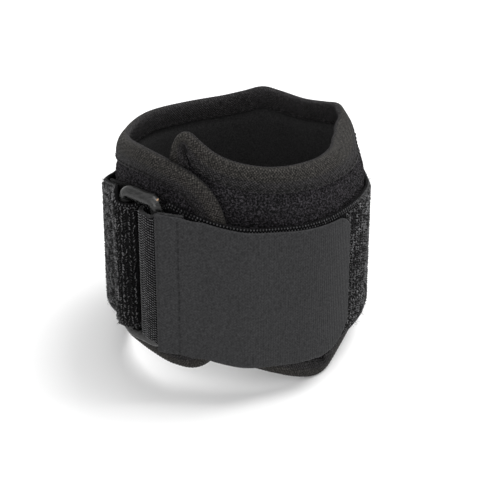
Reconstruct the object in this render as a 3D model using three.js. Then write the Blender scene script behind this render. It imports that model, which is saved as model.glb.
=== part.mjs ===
// Tennis elbow strap: a padded forearm cuff, held by a pile strap, a plastic ring and a hook tab.
// Millimetres, +Z up. Plan angles are in degrees from the front (-Y), growing towards the right (+X).
import * as THREE from "three";

// Driving dimensions
const armRadius = 42; // middle of the cuff's wall, round the forearm
const cuffHeight = 92; // the cuff's foot to its highest tip
const padThickness = 3.0; // foam wall away from its bound edges
const edgeThickness = 1.8; // foam wall squeezed inside the binding
const tapeWidth = 7; // how far the binding reaches in from the cuff's edge
const tapeThickness = 0.6;
const strapWidth = 50;
const strapThickness = 2.0;
const strapFlare = 0.9; // the strap's foot stands out and its top leans in by this much
const selvageWidth = 2.2; // thin woven edge of the strap, without pile
const selvageThickness = 1.2;
const tabThickness = 1.2;
const tabUpperCorner = 6; // radius of the tab's free corners
const tabLowerCorner = 14;
const tabDrop = 1.3; // the tab's free end hangs below the strap's middle by this much
const ringWire = 4.2; // diameter of the ring's moulded bar
const ringBarSpacing = 13.2; // between the two upright bars
const ringHeight = 47.4; // clear height inside the ring
const ringPlay = 0.7; // free height above and below the strap, which is gathered to fit
const ringDrop = 0.3; // the ring's middle below the strap's
const gatherSpan = 4; // degrees over which the strap spreads again beside the ring
const ringCorner = 2.6; // bend radius of the ring's corners
const loopSlack = 1.4; // how far each strap turn stands off its bar, along the strap
const layerGap = 0.3; // between pieces that lie on each other
const foldGap = 0.5; // between two layers of the strap itself, and round the ring's bars

// Places round the arm, in degrees
const ringAngle = -38;
const sewnEndAngle = -76; // sewn end of the strap, under its own layer beside the ring's left bar
const settle = 12; // the strap takes this far to come down from a bar or off its own end
const foldEndAngle = -20; // end of the folded strap under the tab
const tabStartAngle = -27.5;
const tabEndAngle = 51.8;
const flapStepAngle = 22; // the strap is back on the inner flap from here

// The cuff's cut edge, once round: angle, height as a share of cuffHeight.
// From the inner flap's tip over the top to the outer flap, and back along the foot.
const cuffOutline = [
  [-29.2, 0.961], [-26.4, 0.993], [-22.9, 1], [-17.8, 0.974], [-11.4, 0.941], [-4.4, 0.918], [3, 0.903], [12, 0.891],
  [22, 0.883], [32, 0.878], [42, 0.872], [54, 0.868], [70, 0.858], [88, 0.85], [105, 0.85], [119, 0.858],
  [130, 0.839], [145, 0.833], [158, 0.837], [167, 0.843], [177, 0.822], [190, 0.804], [210, 0.798], [232, 0.807],
  [250, 0.815], [264, 0.828], [277, 0.848], [289, 0.874], [301, 0.898], [313, 0.913], [325, 0.913], [335, 0.896],
  [343, 0.866], [349, 0.817], [353, 0.749], [355.5, 0.647], [356.5, 0.511], [355.5, 0.37], [352.5, 0.245], [347.5, 0.157],
  [341, 0.115], [331, 0.104], [318, 0.107], [306, 0.097], [294, 0.07], [282, 0.035], [270, 0.01], [258, 0.002],
  [242, 0], [226, 0], [210, 0], [194, 0], [178, 0], [162, 0], [146, 0], [132, 0.002],
  [120, 0.007], [108, 0.03], [95, 0.076], [82, 0.114], [70, 0.125], [62, 0.109], [56, 0.078], [50.5, 0.039],
  [46, 0.009], [41, 0.001], [35, 0.011], [26, 0.043], [17, 0.078], [8, 0.107], [-1, 0.128], [-11, 0.146],
  [-21, 0.167], [-28, 0.207], [-32.5, 0.283], [-34.5, 0.402], [-35, 0.543], [-34.5, 0.696], [-33, 0.826], [-31, 0.907],
];

// The wall's middle: angle, radius under the strap, lean of the top edge and of the foot, shares of armRadius.
// The back and the right of the rim are creased, so the wall runs straighter between those angles.
const wallSections = [
  [-36, 0.935, 0, 0.02], [-20, 0.935, 0.005, 0.02], [0, 0.95, 0.01, 0.02], [18, 0.985, 0.03, 0.02], [36, 1, 0.07, 0.03],
  [54, 1.005, 0.145, 0.03], [75, 1.02, 0.265, 0.03], [97, 1.04, 0.175, 0.03], [110, 1.07, 0.1, 0.02], [126, 1.05, 0.03, 0.02],
  [143, 0.975, 0.02, 0.02], [167, 1.005, -0.01, 0.02], [190, 0.995, 0.01, 0.02], [230, 0.995, 0.02, 0.02], [262, 0.985, 0.085, 0.03],
  [285, 0.985, 0.105, 0.04], [303, 1.005, 0.1, 0.04], [318, 1.02, 0.05, 0.03], [330, 1.03, 0.02, 0.02], [345, 1.033, 0, 0.01],
  [362, 1.045, 0, 0],
];

// The strap's middle height as a share of cuffHeight: angle, height
const strapHeights = [
  [-180, 0.363], [-130, 0.365], [-104, 0.376], [-86, 0.407], [-72, 0.452], [-60, 0.489], [-50, 0.513], [-31, 0.516],
  [-22, 0.496], [-10, 0.465], [0, 0.448], [12, 0.43], [25, 0.417], [40, 0.413], [52, 0.415], [65, 0.413],
  [80, 0.4], [95, 0.372], [125, 0.354], [180, 0.363], [230, 0.365], [256, 0.376], [274, 0.407], [288, 0.452],
  [300, 0.489], [310, 0.513], [329, 0.516], [338, 0.496], [350, 0.465], [360, 0.448],
];

const turn = 360;
const toRadians = THREE.MathUtils.degToRad;
const { clamp, lerp, smoothstep } = THREE.MathUtils;

// Smooth value of a table's column at an angle, by a curve through its rows that never overshoots
function tableValue(table, angle, column) {
  const last = table.length - 1;
  if (angle <= table[0][0]) return table[0][column];
  if (angle >= table[last][0]) return table[last][column];
  const i = table.findIndex((row) => row[0] > angle) - 1;
  const slopeOf = (k) => (table[k + 1][column] - table[k][column]) / (table[k + 1][0] - table[k][0]);
  const tangentAt = (k) => {
    if (k === 0 || k === last) return slopeOf(Math.min(k, last - 1));
    const before = slopeOf(k - 1);
    const after = slopeOf(k);
    return before * after <= 0 ? 0 : (2 * before * after) / (before + after);
  };
  const span = table[i + 1][0] - table[i][0];
  const t = (angle - table[i][0]) / span;
  const rise = table[i + 1][column] - table[i][column];
  const curve = t * t * (3 - 2 * t);
  const lead = t * (1 - t) * (1 - t) * span * tangentAt(i);
  const trail = t * t * (1 - t) * span * tangentAt(i + 1);
  return table[i][column] + rise * curve + lead - trail;
}

// Skins rings of points that follow each other; an open run is capped by joining each ring's two halves
function skin(rings, closed) {
  const count = rings[0].length;
  const positions = rings.flat().flatMap((p) => [p.x, p.y, p.z]);
  const indices = [];
  const quad = (a, b, c, d) => indices.push(a, b, c, a, c, d);
  const runs = closed ? rings.length : rings.length - 1;
  for (let i = 0; i < runs; i += 1) {
    const here = i * count;
    const next = ((i + 1) % rings.length) * count;
    for (let k = 0; k < count; k += 1) {
      const after = (k + 1) % count;
      quad(here + k, next + k, next + after, here + after);
    }
  }
  if (!closed) {
    const end = (rings.length - 1) * count;
    for (let k = 0; k < count / 2 - 1; k += 1) {
      const mirror = count - 1 - k;
      quad(k, k + 1, mirror - 1, mirror);
      quad(end + k, end + mirror, end + mirror - 1, end + k + 1);
    }
  }
  const geometry = new THREE.BufferGeometry();
  geometry.setAttribute("position", new THREE.Float32BufferAttribute(positions, 3));
  geometry.setIndex(indices);
  geometry.computeVertexNormals();
  return geometry;
}

// Cuff: a flat pattern (length s, height z) rolled into a tube

const lengthPerDegree = toRadians(armRadius);
const strapMiddle = (angle) => cuffHeight * tableValue(strapHeights, angle, 1);

// How far a height above the strap's middle stands out from the upright
const flareAt = (height) => -strapFlare * clamp((2 * height) / strapWidth, -1, 1);

// A point of the wall, with its offset outwards from the wall's middle
function wallPoint(s, z, offset) {
  const angle = s / lengthPerDegree;
  const [, radius, topLean, footLean] = [0, 1, 2, 3].map((c) => tableValue(wallSections, angle, c));
  const height = z - strapMiddle(angle);
  const topLeanShare = clamp((height - strapWidth * 0.42) / (cuffHeight * 0.25), 0, 1.1) ** 3;
  const footLeanShare = smoothstep(-height, strapWidth * 0.42, cuffHeight * 0.52);
  const lean = topLean * topLeanShare + footLean * footLeanShare;
  const r = armRadius * (radius - lean) + flareAt(height) + offset;
  return new THREE.Vector3(r * Math.sin(toRadians(angle)), -r * Math.cos(toRadians(angle)), z);
}

const outlineCurve = new THREE.CatmullRomCurve3(
  cuffOutline.map(([angle, share]) => new THREE.Vector3(angle * lengthPerDegree, share * cuffHeight, 0)),
  true,
  "centripetal",
);
const outlineSteps = 160;
const outline = outlineCurve.getSpacedPoints(outlineSteps).slice(0, -1);

// Distance from a point of the flat pattern to the cut edge
function edgeDistance(s, z) {
  const point = new THREE.Vector3(s, z, 0);
  const nearest = new THREE.Vector3();
  return Math.min(...outline.map((corner, i) => {
    const side = new THREE.Line3(corner, outline[(i + 1) % outline.length]);
    return side.closestPointToPoint(point, true, nearest).distanceTo(point);
  }));
}

// Lowest and highest point of the pattern at a length
function columnEnds(s) {
  const heights = [];
  outline.forEach((a, i) => {
    const b = outline[(i + 1) % outline.length];
    if ((a.x <= s) !== (b.x <= s)) heights.push(lerp(a.y, b.y, (s - a.x) / (b.x - a.x)));
  });
  return [Math.min(...heights), Math.max(...heights)];
}

// Going from the edge z0 towards z1, the first height at a given distance from the cut edge
function heightAtDepth(s, z0, z1, depth) {
  let [near, far] = [0, 0.5];
  if (edgeDistance(s, lerp(z0, z1, far)) < depth) return null;
  for (let i = 0; i < 14; i += 1) {
    const half = (near + far) / 2;
    if (edgeDistance(s, lerp(z0, z1, half)) < depth) near = half;
    else far = half;
  }
  return lerp(z0, z1, far);
}

function cuffGeometry() {
  const lengths = outline.map((p) => p.x);
  const first = Math.min(...lengths);
  const last = Math.max(...lengths);
  const endSteps = [0.05, 0.6, 1.6, 3.2, 5.4, 8, 11];
  const middleCount = 66;
  const start = first + endSteps.at(-1);
  const stretch = (last - first - 2 * endSteps.at(-1)) / middleCount;
  const stations = [
    ...endSteps.map((step) => first + step),
    ...Array.from({ length: middleCount - 1 }, (_, i) => start + (i + 1) * stretch),
    ...endSteps.map((step) => last - step).reverse(),
  ];
  const bound = tapeWidth + 4 * layerGap; // foam stays thin this far in
  const full = bound + padThickness; // and has its full thickness from here
  const halfThickness = (s, z) => {
    const depth = edgeDistance(s, z);
    const squeezed = lerp(edgeThickness * 0.36, edgeThickness / 2, Math.min(depth / 1.5, 1));
    return lerp(squeezed, padThickness / 2, smoothstep(depth, bound, full));
  };
  const rings = stations.map((s) => {
    const [low, high] = columnEnds(s);
    const depths = [bound * 0.42, bound, full];
    const heights = [low];
    const shares = [0.12, 0.25, 0.38];
    depths.forEach((depth, i) => heights.push(heightAtDepth(s, low, high, depth) ?? lerp(low, high, shares[i])));
    const upper = depths.map((depth, i) => heightAtDepth(s, high, low, depth) ?? lerp(high, low, shares[i]));
    heights.push((heights.at(-1) + upper.at(-1)) / 2, ...upper.reverse(), high);
    const outside = heights.map((z) => wallPoint(s, z, halfThickness(s, z)));
    const inside = heights.map((z) => wallPoint(s, z, -halfThickness(s, z)));
    return [...outside, ...inside.reverse()];
  });
  return skin(rings, false);
}

// Binding: a folded tape that runs round the whole cut edge

function bindingGeometry() {
  const inner = edgeThickness / 2 + layerGap;
  const outer = inner + tapeThickness;
  const nose = layerGap + tapeThickness;
  const half = tapeWidth / 2;
  const section = [ // depth in from the edge, offset from the wall's middle
    [tapeWidth, outer], [half, outer], [0.5, outer], [-nose * 0.75, outer * 0.62], [-nose, outer * 0.3],
    [-nose, -outer * 0.3], [-nose * 0.75, -outer * 0.62], [0.5, -outer], [half, -outer], [tapeWidth, -outer],
    [tapeWidth, -inner], [half, -inner], [0.7, -inner], [-layerGap, -inner * 0.62],
    [-layerGap, inner * 0.62], [0.7, inner], [half, inner], [tapeWidth, inner],
  ];
  const count = outline.length;
  const at = (i) => outline[(i + count) % count];
  const directions = outline.map((_, i) => at(i + 1).clone().sub(at(i - 1)).normalize());
  // Where the edge turns sharply the tape is gathered, so it reaches less far in
  const reaches = outline.map((_, i) => {
    const turned = [-2, -1, 0, 1, 2].map((k) => {
      const before = directions[(i + k - 1 + count) % count];
      const after = directions[(i + k + 1 + count) % count];
      const bend = before.x * after.y - before.y * after.x;
      return -bend / at(i + k + 1).distanceTo(at(i + k - 1));
    });
    const tightest = Math.max(...turned);
    return Math.min(tapeWidth, tightest > 0 ? 0.8 / tightest : tapeWidth);
  });
  const rings = outline.map((point, i) => {
    const inward = new THREE.Vector3(directions[i].y, -directions[i].x, 0);
    const reach = reaches[i] / tapeWidth;
    return section.map(([depth, offset]) => {
      const d = depth > 1 ? depth * reach : depth;
      return wallPoint(point.x + inward.x * d, point.y + inward.y * d, offset);
    });
  });
  return skin(rings, true);
}

// Strap: one strip, from its sewn end on the cuff round the ring's left bar and back over itself,
// round the arm, under the ring's right bar and folded back over it

const tapeOutside = edgeThickness / 2 + layerGap + tapeThickness;
const halfStrap = strapThickness / 2;

// Middle of the strap on the cuff, from -180 to 180 degrees. Past the outer flap's end it comes down
// to the inner flap.
function strapRadius(angle) {
  const onInner = tableValue(wallSections, angle, 1);
  const onOuter = tableValue(wallSections, angle + turn, 1);
  const middle = angle < 0 ? onOuter : lerp(onOuter, onInner, smoothstep(angle, 0, flapStepAngle));
  return armRadius * middle + tapeOutside + layerGap + halfStrap;
}

const planPoint = (angle, r) => new THREE.Vector2(r * Math.sin(toRadians(angle)), -r * Math.cos(toRadians(angle)));

const barLift = ringWire / 2 + foldGap + halfStrap; // bar centre above the middle of the strap under it
const ringRadius = strapRadius(ringAngle) + barLift;
const barOffset = THREE.MathUtils.radToDeg(ringBarSpacing / 2 / ringRadius);
const barAngles = { left: ringAngle - barOffset, right: ringAngle + barOffset };

// Half turn of the strap round an upright bar, from one layer to the other
function barTurn(barAngle, side, fromOutside) {
  const steps = 8;
  const centre = planPoint(barAngle, ringRadius);
  const out = planPoint(barAngle, 1);
  const along = new THREE.Vector2(-out.y, out.x).multiplyScalar(side);
  return Array.from({ length: steps + 1 }, (_, i) => {
    const sweep = (Math.PI * i) / steps;
    const radial = Math.cos(sweep) * barLift * (fromOutside ? 1 : -1);
    const sideways = Math.sin(sweep) * (barLift + loopSlack);
    return centre.clone().addScaledVector(out, radial).addScaledVector(along, sideways);
  });
}

function strapPath() {
  const doubled = strapThickness + foldGap;
  const layer = (from, to, step, lift) => {
    const count = Math.max(1, Math.round(Math.abs(to - from) / step));
    return Array.from({ length: count }, (_, i) => {
      const angle = lerp(from, to, i / count);
      return planPoint(angle, strapRadius(angle > 180 ? angle - turn : angle) + lift(angle));
    });
  };
  const foldLift = (angle) => {
    return lerp(2 * barLift, doubled, smoothstep(angle, barAngles.right, barAngles.right + settle));
  };
  const outerLift = (angle) => {
    if (angle > 0) return 0;
    const overBar = lerp(doubled, 2 * barLift, smoothstep(angle, barAngles.left - settle, barAngles.left));
    return overBar * smoothstep(angle, sewnEndAngle - 2.2 * settle, sewnEndAngle - 2);
  };
  const noLift = () => 0;
  return [
    ...layer(sewnEndAngle, barAngles.left, 3, noLift),
    ...barTurn(barAngles.left, 1, false),
    ...layer(barAngles.left, -turn / 2, 4, outerLift).slice(1),
    ...layer(turn / 2, barAngles.right, 4, noLift),
    ...barTurn(barAngles.right, -1, false),
    ...layer(barAngles.right, foldEndAngle + 0.01, 3, foldLift).slice(1),
    planPoint(foldEndAngle, strapRadius(foldEndAngle) + doubled),
  ];
}

const angleOf = (point) => THREE.MathUtils.radToDeg(Math.atan2(point.x, -point.y));

// Share of its width that the strap keeps: it is drawn in to pass the ring
function gatherAt(angle) {
  const away = Math.abs(angle - ringAngle) - barOffset;
  return lerp((ringHeight - 2 * ringPlay) / strapWidth, 1, smoothstep(away, 0, gatherSpan));
}

// Rings of the strap's section along its path; section rows are height and offset to the pile's side
function bandRings(path, section) {
  return path.map((point, i) => {
    const before = path[Math.max(i - 1, 0)];
    const after = path[Math.min(i + 1, path.length - 1)];
    const direction = after.clone().sub(before).normalize();
    const normal = new THREE.Vector2(-direction.y, direction.x);
    const outwards = point.clone().normalize();
    const angle = angleOf(point);
    const middle = strapMiddle(angle);
    return section.map(([height, offset]) => {
      const z = height * gatherAt(angle);
      const place = point.clone().addScaledVector(normal, offset).addScaledVector(outwards, flareAt(z));
      return new THREE.Vector3(place.x, place.y, middle + z);
    });
  });
}

function strapGeometry() {
  const half = strapWidth / 2;
  const back = -halfStrap;
  const pile = halfStrap;
  const edge = back + selvageThickness;
  const side = [
    [half, edge], [half - selvageWidth, pile], [0, pile], [-half + selvageWidth, pile], [-half, edge],
  ];
  const other = side.map(([z]) => [z, back]).reverse();
  return skin(bandRings(strapPath(), [...side, ...other]), false);
}

// Ring: a moulded bar bent into an upright rectangle

function ringGeometry() {
  const height = ringHeight + ringWire; // between the middles of the cross bars
  const middle = strapMiddle(ringAngle) - ringDrop;
  const corners = [[1, 1], [-1, 1], [-1, -1], [1, -1]];
  const bendSteps = 5;
  const sides = 10;
  const route = corners.flatMap(([x, z], corner) => Array.from({ length: bendSteps }, (_, i) => {
    const angle = ((corner + i / (bendSteps - 1)) * Math.PI) / 2;
    const centreX = x * (ringBarSpacing / 2 - ringCorner);
    const centreZ = z * (height / 2 - ringCorner);
    return { x: centreX + ringCorner * Math.cos(angle), z: centreZ + ringCorner * Math.sin(angle), angle };
  }));
  const out = planPoint(ringAngle, 1);
  const along = new THREE.Vector2(-out.y, out.x);
  const centre = planPoint(ringAngle, ringRadius * Math.cos(toRadians(barOffset)));
  const rings = route.map(({ x, z, angle }) => Array.from({ length: sides }, (_, k) => {
    const around = (2 * Math.PI * k) / sides;
    const swell = (Math.cos(around) * ringWire) / 2;
    const depth = (Math.sin(around) * ringWire) / 2;
    const height = z + swell * Math.sin(angle);
    const place = centre.clone()
      .addScaledVector(along, x + swell * Math.cos(angle))
      .addScaledVector(out, depth + flareAt(height));
    return new THREE.Vector3(place.x, place.y, middle + height);
  }));
  return skin(rings, true);
}

// Hook tab: sewn on the folded strap's end, pressed on the strap's pile

function tabGeometry() {
  const doubled = strapThickness + foldGap;
  const onFold = halfStrap + doubled + layerGap + tabThickness / 2;
  const onStrap = halfStrap + layerGap + tabThickness / 2;
  const foldRise = (angle) => {
    return lerp(2 * barLift - doubled, 0, smoothstep(angle, barAngles.right, barAngles.right + settle));
  };
  const radiusAt = (angle) => {
    const step = smoothstep(angle, foldEndAngle + 0.8, foldEndAngle + 9);
    return strapRadius(angle) + lerp(onFold + foldRise(angle), onStrap, step);
  };
  const count = 30;
  const spacing = (t) => 1 - (1 - t) ** 1.5; // closer stations at the rounded end
  const angles = Array.from({ length: count + 1 }, (_, i) => lerp(tabStartAngle, tabEndAngle, spacing(i / count)));
  // Half width left by a rounded corner, near the tab's free end
  const reachAt = (toEnd, corner) => {
    const bite = Math.max(corner - toEnd, 0);
    return strapWidth / 2 - corner + Math.sqrt(Math.max(corner ** 2 - bite ** 2, 0));
  };
  const rings = angles.map((angle) => {
    const r = radiusAt(angle);
    const toEnd = toRadians(tabEndAngle - angle) * r;
    const upper = reachAt(toEnd, tabUpperCorner);
    const lower = reachAt(toEnd, tabLowerCorner);
    const drop = (tabDrop * (angle - tabStartAngle)) / (tabEndAngle - tabStartAngle);
    const place = (z, offset) => {
      const p = planPoint(angle, r + offset + flareAt(z));
      return new THREE.Vector3(p.x, p.y, strapMiddle(angle) - drop + z);
    };
    const heights = [-lower, -lower / 2, 0, upper / 2, upper];
    return [
      ...heights.map((z) => place(z, tabThickness / 2)),
      ...heights.reverse().map((z) => place(z, -tabThickness / 2)),
    ];
  });
  return skin(rings, false);
}

function piece(name, geometry, colour, roughness, metalness = 0) {
  const mesh = new THREE.Mesh(geometry, new THREE.MeshStandardMaterial({ color: colour, roughness, metalness }));
  mesh.name = name;
  return mesh;
}

const strapAssembly = new THREE.Group();
strapAssembly.add(
  piece("cuff", cuffGeometry(), 0x1b1a1d, 0.95),
  piece("cuff_binding", bindingGeometry(), 0x353331, 0.85),
  piece("strap", strapGeometry(), 0x1d1d1f, 0.95),
  piece("ring", ringGeometry(), 0x3f3f42, 0.35),
  piece("hook_tab", tabGeometry(), 0x3c3c3e, 0.75),
);

// Stand it on its foot, centred over the origin
const box = new THREE.Box3().setFromObject(strapAssembly, true);
const middle = box.getCenter(new THREE.Vector3());
strapAssembly.position.set(-middle.x, -middle.y, -box.min.z);

export default strapAssembly;
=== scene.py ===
import math
import bpy
import numpy as np
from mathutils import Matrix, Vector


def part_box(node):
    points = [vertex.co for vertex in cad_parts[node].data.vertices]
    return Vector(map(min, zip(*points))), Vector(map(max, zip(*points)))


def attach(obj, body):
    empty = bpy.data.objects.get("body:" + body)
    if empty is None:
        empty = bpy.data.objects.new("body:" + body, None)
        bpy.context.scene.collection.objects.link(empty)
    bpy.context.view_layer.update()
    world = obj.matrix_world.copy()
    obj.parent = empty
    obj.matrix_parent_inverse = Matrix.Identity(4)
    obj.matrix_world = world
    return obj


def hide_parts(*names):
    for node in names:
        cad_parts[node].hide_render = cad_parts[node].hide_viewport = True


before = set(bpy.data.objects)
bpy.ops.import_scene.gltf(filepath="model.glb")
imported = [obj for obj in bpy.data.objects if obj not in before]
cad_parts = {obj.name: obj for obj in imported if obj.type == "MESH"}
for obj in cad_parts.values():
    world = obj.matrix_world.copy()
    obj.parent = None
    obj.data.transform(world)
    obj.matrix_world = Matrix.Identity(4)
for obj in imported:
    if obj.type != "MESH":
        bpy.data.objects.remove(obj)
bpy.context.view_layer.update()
bpy.ops.object.select_all(action="DESELECT")
print("frame loaded")

mm = 0.001  # everything below is in millimetres until it becomes a mesh
dice = np.random.default_rng(7)

# Sizes of the real object, as in the CAD model
cuff = {
    "armRadius": 42, "height": 92, "pad": 3.0, "edge": 1.8, "gap": 0.3,
    "tapeWidth": 7, "tapeThickness": 0.6,
}
band = {
    "width": 50, "thickness": 2.0, "flare": 0.9, "foldGap": 0.5, "loopSlack": 1.4, "settle": 12,
    "sewnEnd": -76, "foldEnd": -20, "flapStep": 22,
}
loop = {
    "angle": -38, "wire": 4.2, "spacing": 13.2, "height": 47.4, "play": 0.7, "drop": 0.3,
    "corner": 2.6, "gatherSpan": 4,
}
tab = {"start": -27.5, "end": 51.8, "thickness": 1.2, "upperCorner": 6, "lowerCorner": 14, "drop": 1.3}

# Where the wall starts to lean, a share of the strap's width, and over what shares of the height
wallLean = {"from": 0.42, "topSpan": 0.25, "topMost": 1.1, "footSpan": 0.52}

# The cuff's cut edge, once round: angle, share of the cuff's height
cuffOutline = [
    [-29.2, 0.961], [-26.4, 0.993], [-22.9, 1], [-17.8, 0.974], [-11.4, 0.941], [-4.4, 0.918],
    [3, 0.903], [12, 0.891], [22, 0.883], [32, 0.878], [42, 0.872], [54, 0.868], [70, 0.858],
    [88, 0.85], [105, 0.85], [119, 0.858], [130, 0.839], [145, 0.833], [158, 0.837], [167, 0.843],
    [177, 0.822], [190, 0.804], [210, 0.798], [232, 0.807], [250, 0.815], [264, 0.828], [277, 0.848],
    [289, 0.874], [301, 0.898], [313, 0.913], [325, 0.913], [335, 0.896], [343, 0.866], [349, 0.817],
    [353, 0.749], [355.5, 0.647], [356.5, 0.511], [355.5, 0.37], [352.5, 0.245], [347.5, 0.157],
    [341, 0.115], [331, 0.104], [318, 0.107], [306, 0.097], [294, 0.07], [282, 0.035], [270, 0.01],
    [258, 0.002], [242, 0], [226, 0], [210, 0], [194, 0], [178, 0], [162, 0], [146, 0], [132, 0.002],
    [120, 0.007], [108, 0.03], [95, 0.076], [82, 0.114], [70, 0.125], [62, 0.109], [56, 0.078],
    [50.5, 0.039], [46, 0.009], [41, 0.001], [35, 0.011], [26, 0.043], [17, 0.078], [8, 0.107],
    [-1, 0.128], [-11, 0.146], [-21, 0.167], [-28, 0.207], [-32.5, 0.283], [-34.5, 0.402], [-35, 0.543],
    [-34.5, 0.696], [-33, 0.826], [-31, 0.907],
]
# The wall's middle: angle, radius, lean of the top edge and of the foot, shares of the arm's radius
wallSections = [
    [-36, 0.935, 0, 0.02], [-20, 0.935, 0.005, 0.02], [0, 0.95, 0.01, 0.02], [18, 0.985, 0.03, 0.02],
    [36, 1, 0.07, 0.03], [54, 1.005, 0.145, 0.03], [75, 1.02, 0.265, 0.03], [97, 1.04, 0.175, 0.03],
    [110, 1.07, 0.1, 0.02], [126, 1.05, 0.03, 0.02], [143, 0.975, 0.02, 0.02],
    [167, 1.005, -0.01, 0.02], [190, 0.995, 0.01, 0.02], [230, 0.995, 0.02, 0.02],
    [262, 0.985, 0.085, 0.03], [285, 0.985, 0.105, 0.04], [303, 1.005, 0.1, 0.04],
    [318, 1.02, 0.05, 0.03], [330, 1.03, 0.02, 0.02], [345, 1.033, 0, 0.01], [362, 1.045, 0, 0],
]
# The strap's middle: angle, share of the cuff's height
strapHeights = [
    [-180, 0.363], [-130, 0.365], [-104, 0.376], [-86, 0.407], [-72, 0.452], [-60, 0.489], [-50, 0.513],
    [-31, 0.516], [-22, 0.496], [-10, 0.465], [0, 0.448], [12, 0.43], [25, 0.417], [40, 0.413],
    [52, 0.415], [65, 0.413], [80, 0.4], [95, 0.372], [125, 0.354], [180, 0.363], [230, 0.365],
    [256, 0.376], [274, 0.407], [288, 0.452], [300, 0.489], [310, 0.513], [329, 0.516], [338, 0.496],
    [350, 0.465], [360, 0.448],
]


def smoothStep(x, low, high):
    t = np.clip((x - low) / (high - low), 0, 1)
    return t * t * (3 - 2 * t)


def mix(a, b, t):
    return a + (b - a) * t


def unit(v):
    return v / np.linalg.norm(v, axis=-1, keepdims=True)


def tableValue(table, angle, column):
    # smooth curve through the rows of a table, without overshoot
    rows = np.array(table, float)
    x, y = rows[:, 0], rows[:, column]
    slope = np.diff(y) / np.diff(x)
    tangent = np.zeros(len(x))
    tangent[0], tangent[-1] = slope[0], slope[-1]
    before, after = slope[:-1], slope[1:]
    same = before * after > 0
    total = np.where(same, before + after, 1)
    tangent[1:-1] = np.where(same, 2 * before * after / total, 0)
    a = np.clip(np.asarray(angle, float), x[0], x[-1])
    i = np.clip(np.searchsorted(x, a, side="right") - 1, 0, len(x) - 2)
    span = x[i + 1] - x[i]
    t = (a - x[i]) / span
    rise = (y[i + 1] - y[i]) * t * t * (3 - 2 * t)
    return y[i] + rise + t * (1 - t) ** 2 * span * tangent[i] - t * t * (1 - t) * span * tangent[i + 1]


def strapMiddle(angle):
    return cuff["height"] * tableValue(strapHeights, angle, 1)


def flareAt(height):
    return -band["flare"] * np.clip(2 * height / band["width"], -1, 1)


lengthPerDegree = math.radians(cuff["armRadius"])


def wallPoint(s, z, offset):
    # a point of the flat pattern, rolled round the arm
    s, z = np.asarray(s, float), np.asarray(z, float)
    angle = s / lengthPerDegree
    radius, topLean, footLean = (tableValue(wallSections, angle, c) for c in (1, 2, 3))
    height = z - strapMiddle(angle)
    start = band["width"] * wallLean["from"]
    topShare = (height - start) / (cuff["height"] * wallLean["topSpan"])
    topShare = np.clip(topShare, 0, wallLean["topMost"]) ** 3
    footShare = smoothStep(-height, start, cuff["height"] * wallLean["footSpan"])
    r = cuff["armRadius"] * (radius - topLean * topShare - footLean * footShare)
    r = r + flareAt(height) + offset
    turned = np.radians(angle)
    return np.stack([r * np.sin(turned), -r * np.cos(turned), z + 0 * r], -1)


def wallFrame(s, z, offset):
    # point, along, up and outward directions on the wall
    h = 0.4
    along = unit(wallPoint(s + h, z, offset) - wallPoint(s - h, z, offset))
    up = wallPoint(s, z + h, offset) - wallPoint(s, z - h, offset)
    out = unit(np.cross(along, up))
    return wallPoint(s, z, offset), along, np.cross(out, along), out


def smoothCurve(points, steps, closed):
    # centripetal Catmull-Rom curve, as in the CAD model
    p = np.array(points, float)
    if closed:
        p0, p1, p2, p3 = np.roll(p, 1, 0), p, np.roll(p, -1, 0), np.roll(p, -2, 0)
    else:
        wide = np.vstack([2 * p[0] - p[1], p, 2 * p[-1] - p[-2]])
        p0, p1, p2, p3 = wide[:-3], wide[1:-2], wide[2:-1], wide[3:]
    pairs = ((p0, p1), (p1, p2), (p2, p3))
    d0, d1, d2 = (np.sqrt(np.linalg.norm(b - a, axis=1))[:, None] for a, b in pairs)
    t1 = ((p1 - p0) / d0 - (p2 - p0) / (d0 + d1) + (p2 - p1) / d1) * d1
    t2 = ((p2 - p1) / d1 - (p3 - p1) / (d1 + d2) + (p3 - p2) / d2) * d1
    t = (np.arange(steps) / steps)[None, :, None]
    a, b, u, v = p1[:, None], p2[:, None], t1[:, None], t2[:, None]
    curve = a + u * t + (3 * (b - a) - 2 * u - v) * t ** 2 + (2 * (a - b) + u + v) * t ** 3
    curve = curve.reshape(-1, p.shape[1])
    return curve if closed else np.vstack([curve, p[-1]])


def evenly(curve, spacing, closed):
    # points at even distances along a curve, and those distances
    line = np.vstack([curve, curve[:1]]) if closed else curve
    length = np.concatenate([[0], np.cumsum(np.linalg.norm(np.diff(line, axis=0), axis=1))])
    count = int(round(length[-1] / spacing))
    at = np.linspace(0, length[-1], count + 1)
    if closed:
        at = at[:-1]
    return np.stack([np.interp(at, length, line[:, k]) for k in range(line.shape[1])], -1), at


flatOutline = [[angle * lengthPerDegree, share * cuff["height"]] for angle, share in cuffOutline]
flatOutline = smoothCurve(flatOutline, 24, True)
coarseOutline = evenly(flatOutline, 1.0, True)[0]


def edgeDistance(s, z):
    # distance from points of the flat pattern to its cut edge
    p = np.stack([np.ravel(s), np.ravel(z)], -1)
    a = coarseOutline
    d = np.roll(a, -1, 0) - a
    nearest = np.zeros(len(p))
    batch = 2000
    for i in range(0, len(p), batch):
        w = p[i:i + batch, None] - a[None]
        t = np.clip((w * d).sum(-1) / (d * d).sum(-1), 0, 1)
        nearest[i:i + batch] = np.linalg.norm(w - t[..., None] * d, axis=-1).min(1)
    return nearest.reshape(np.shape(s))


def columnEnds(s):
    # lowest and highest point of the flat pattern at each s
    a, b = flatOutline, np.roll(flatOutline, -1, 0)
    ends = []
    for x in s:
        crossing = (a[:, 0] <= x) != (b[:, 0] <= x)
        t = (x - a[crossing, 0]) / (b[crossing, 0] - a[crossing, 0])
        heights = mix(a[crossing, 1], b[crossing, 1], t)
        ends.append((heights.min(), heights.max()))
    return np.array(ends)


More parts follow.
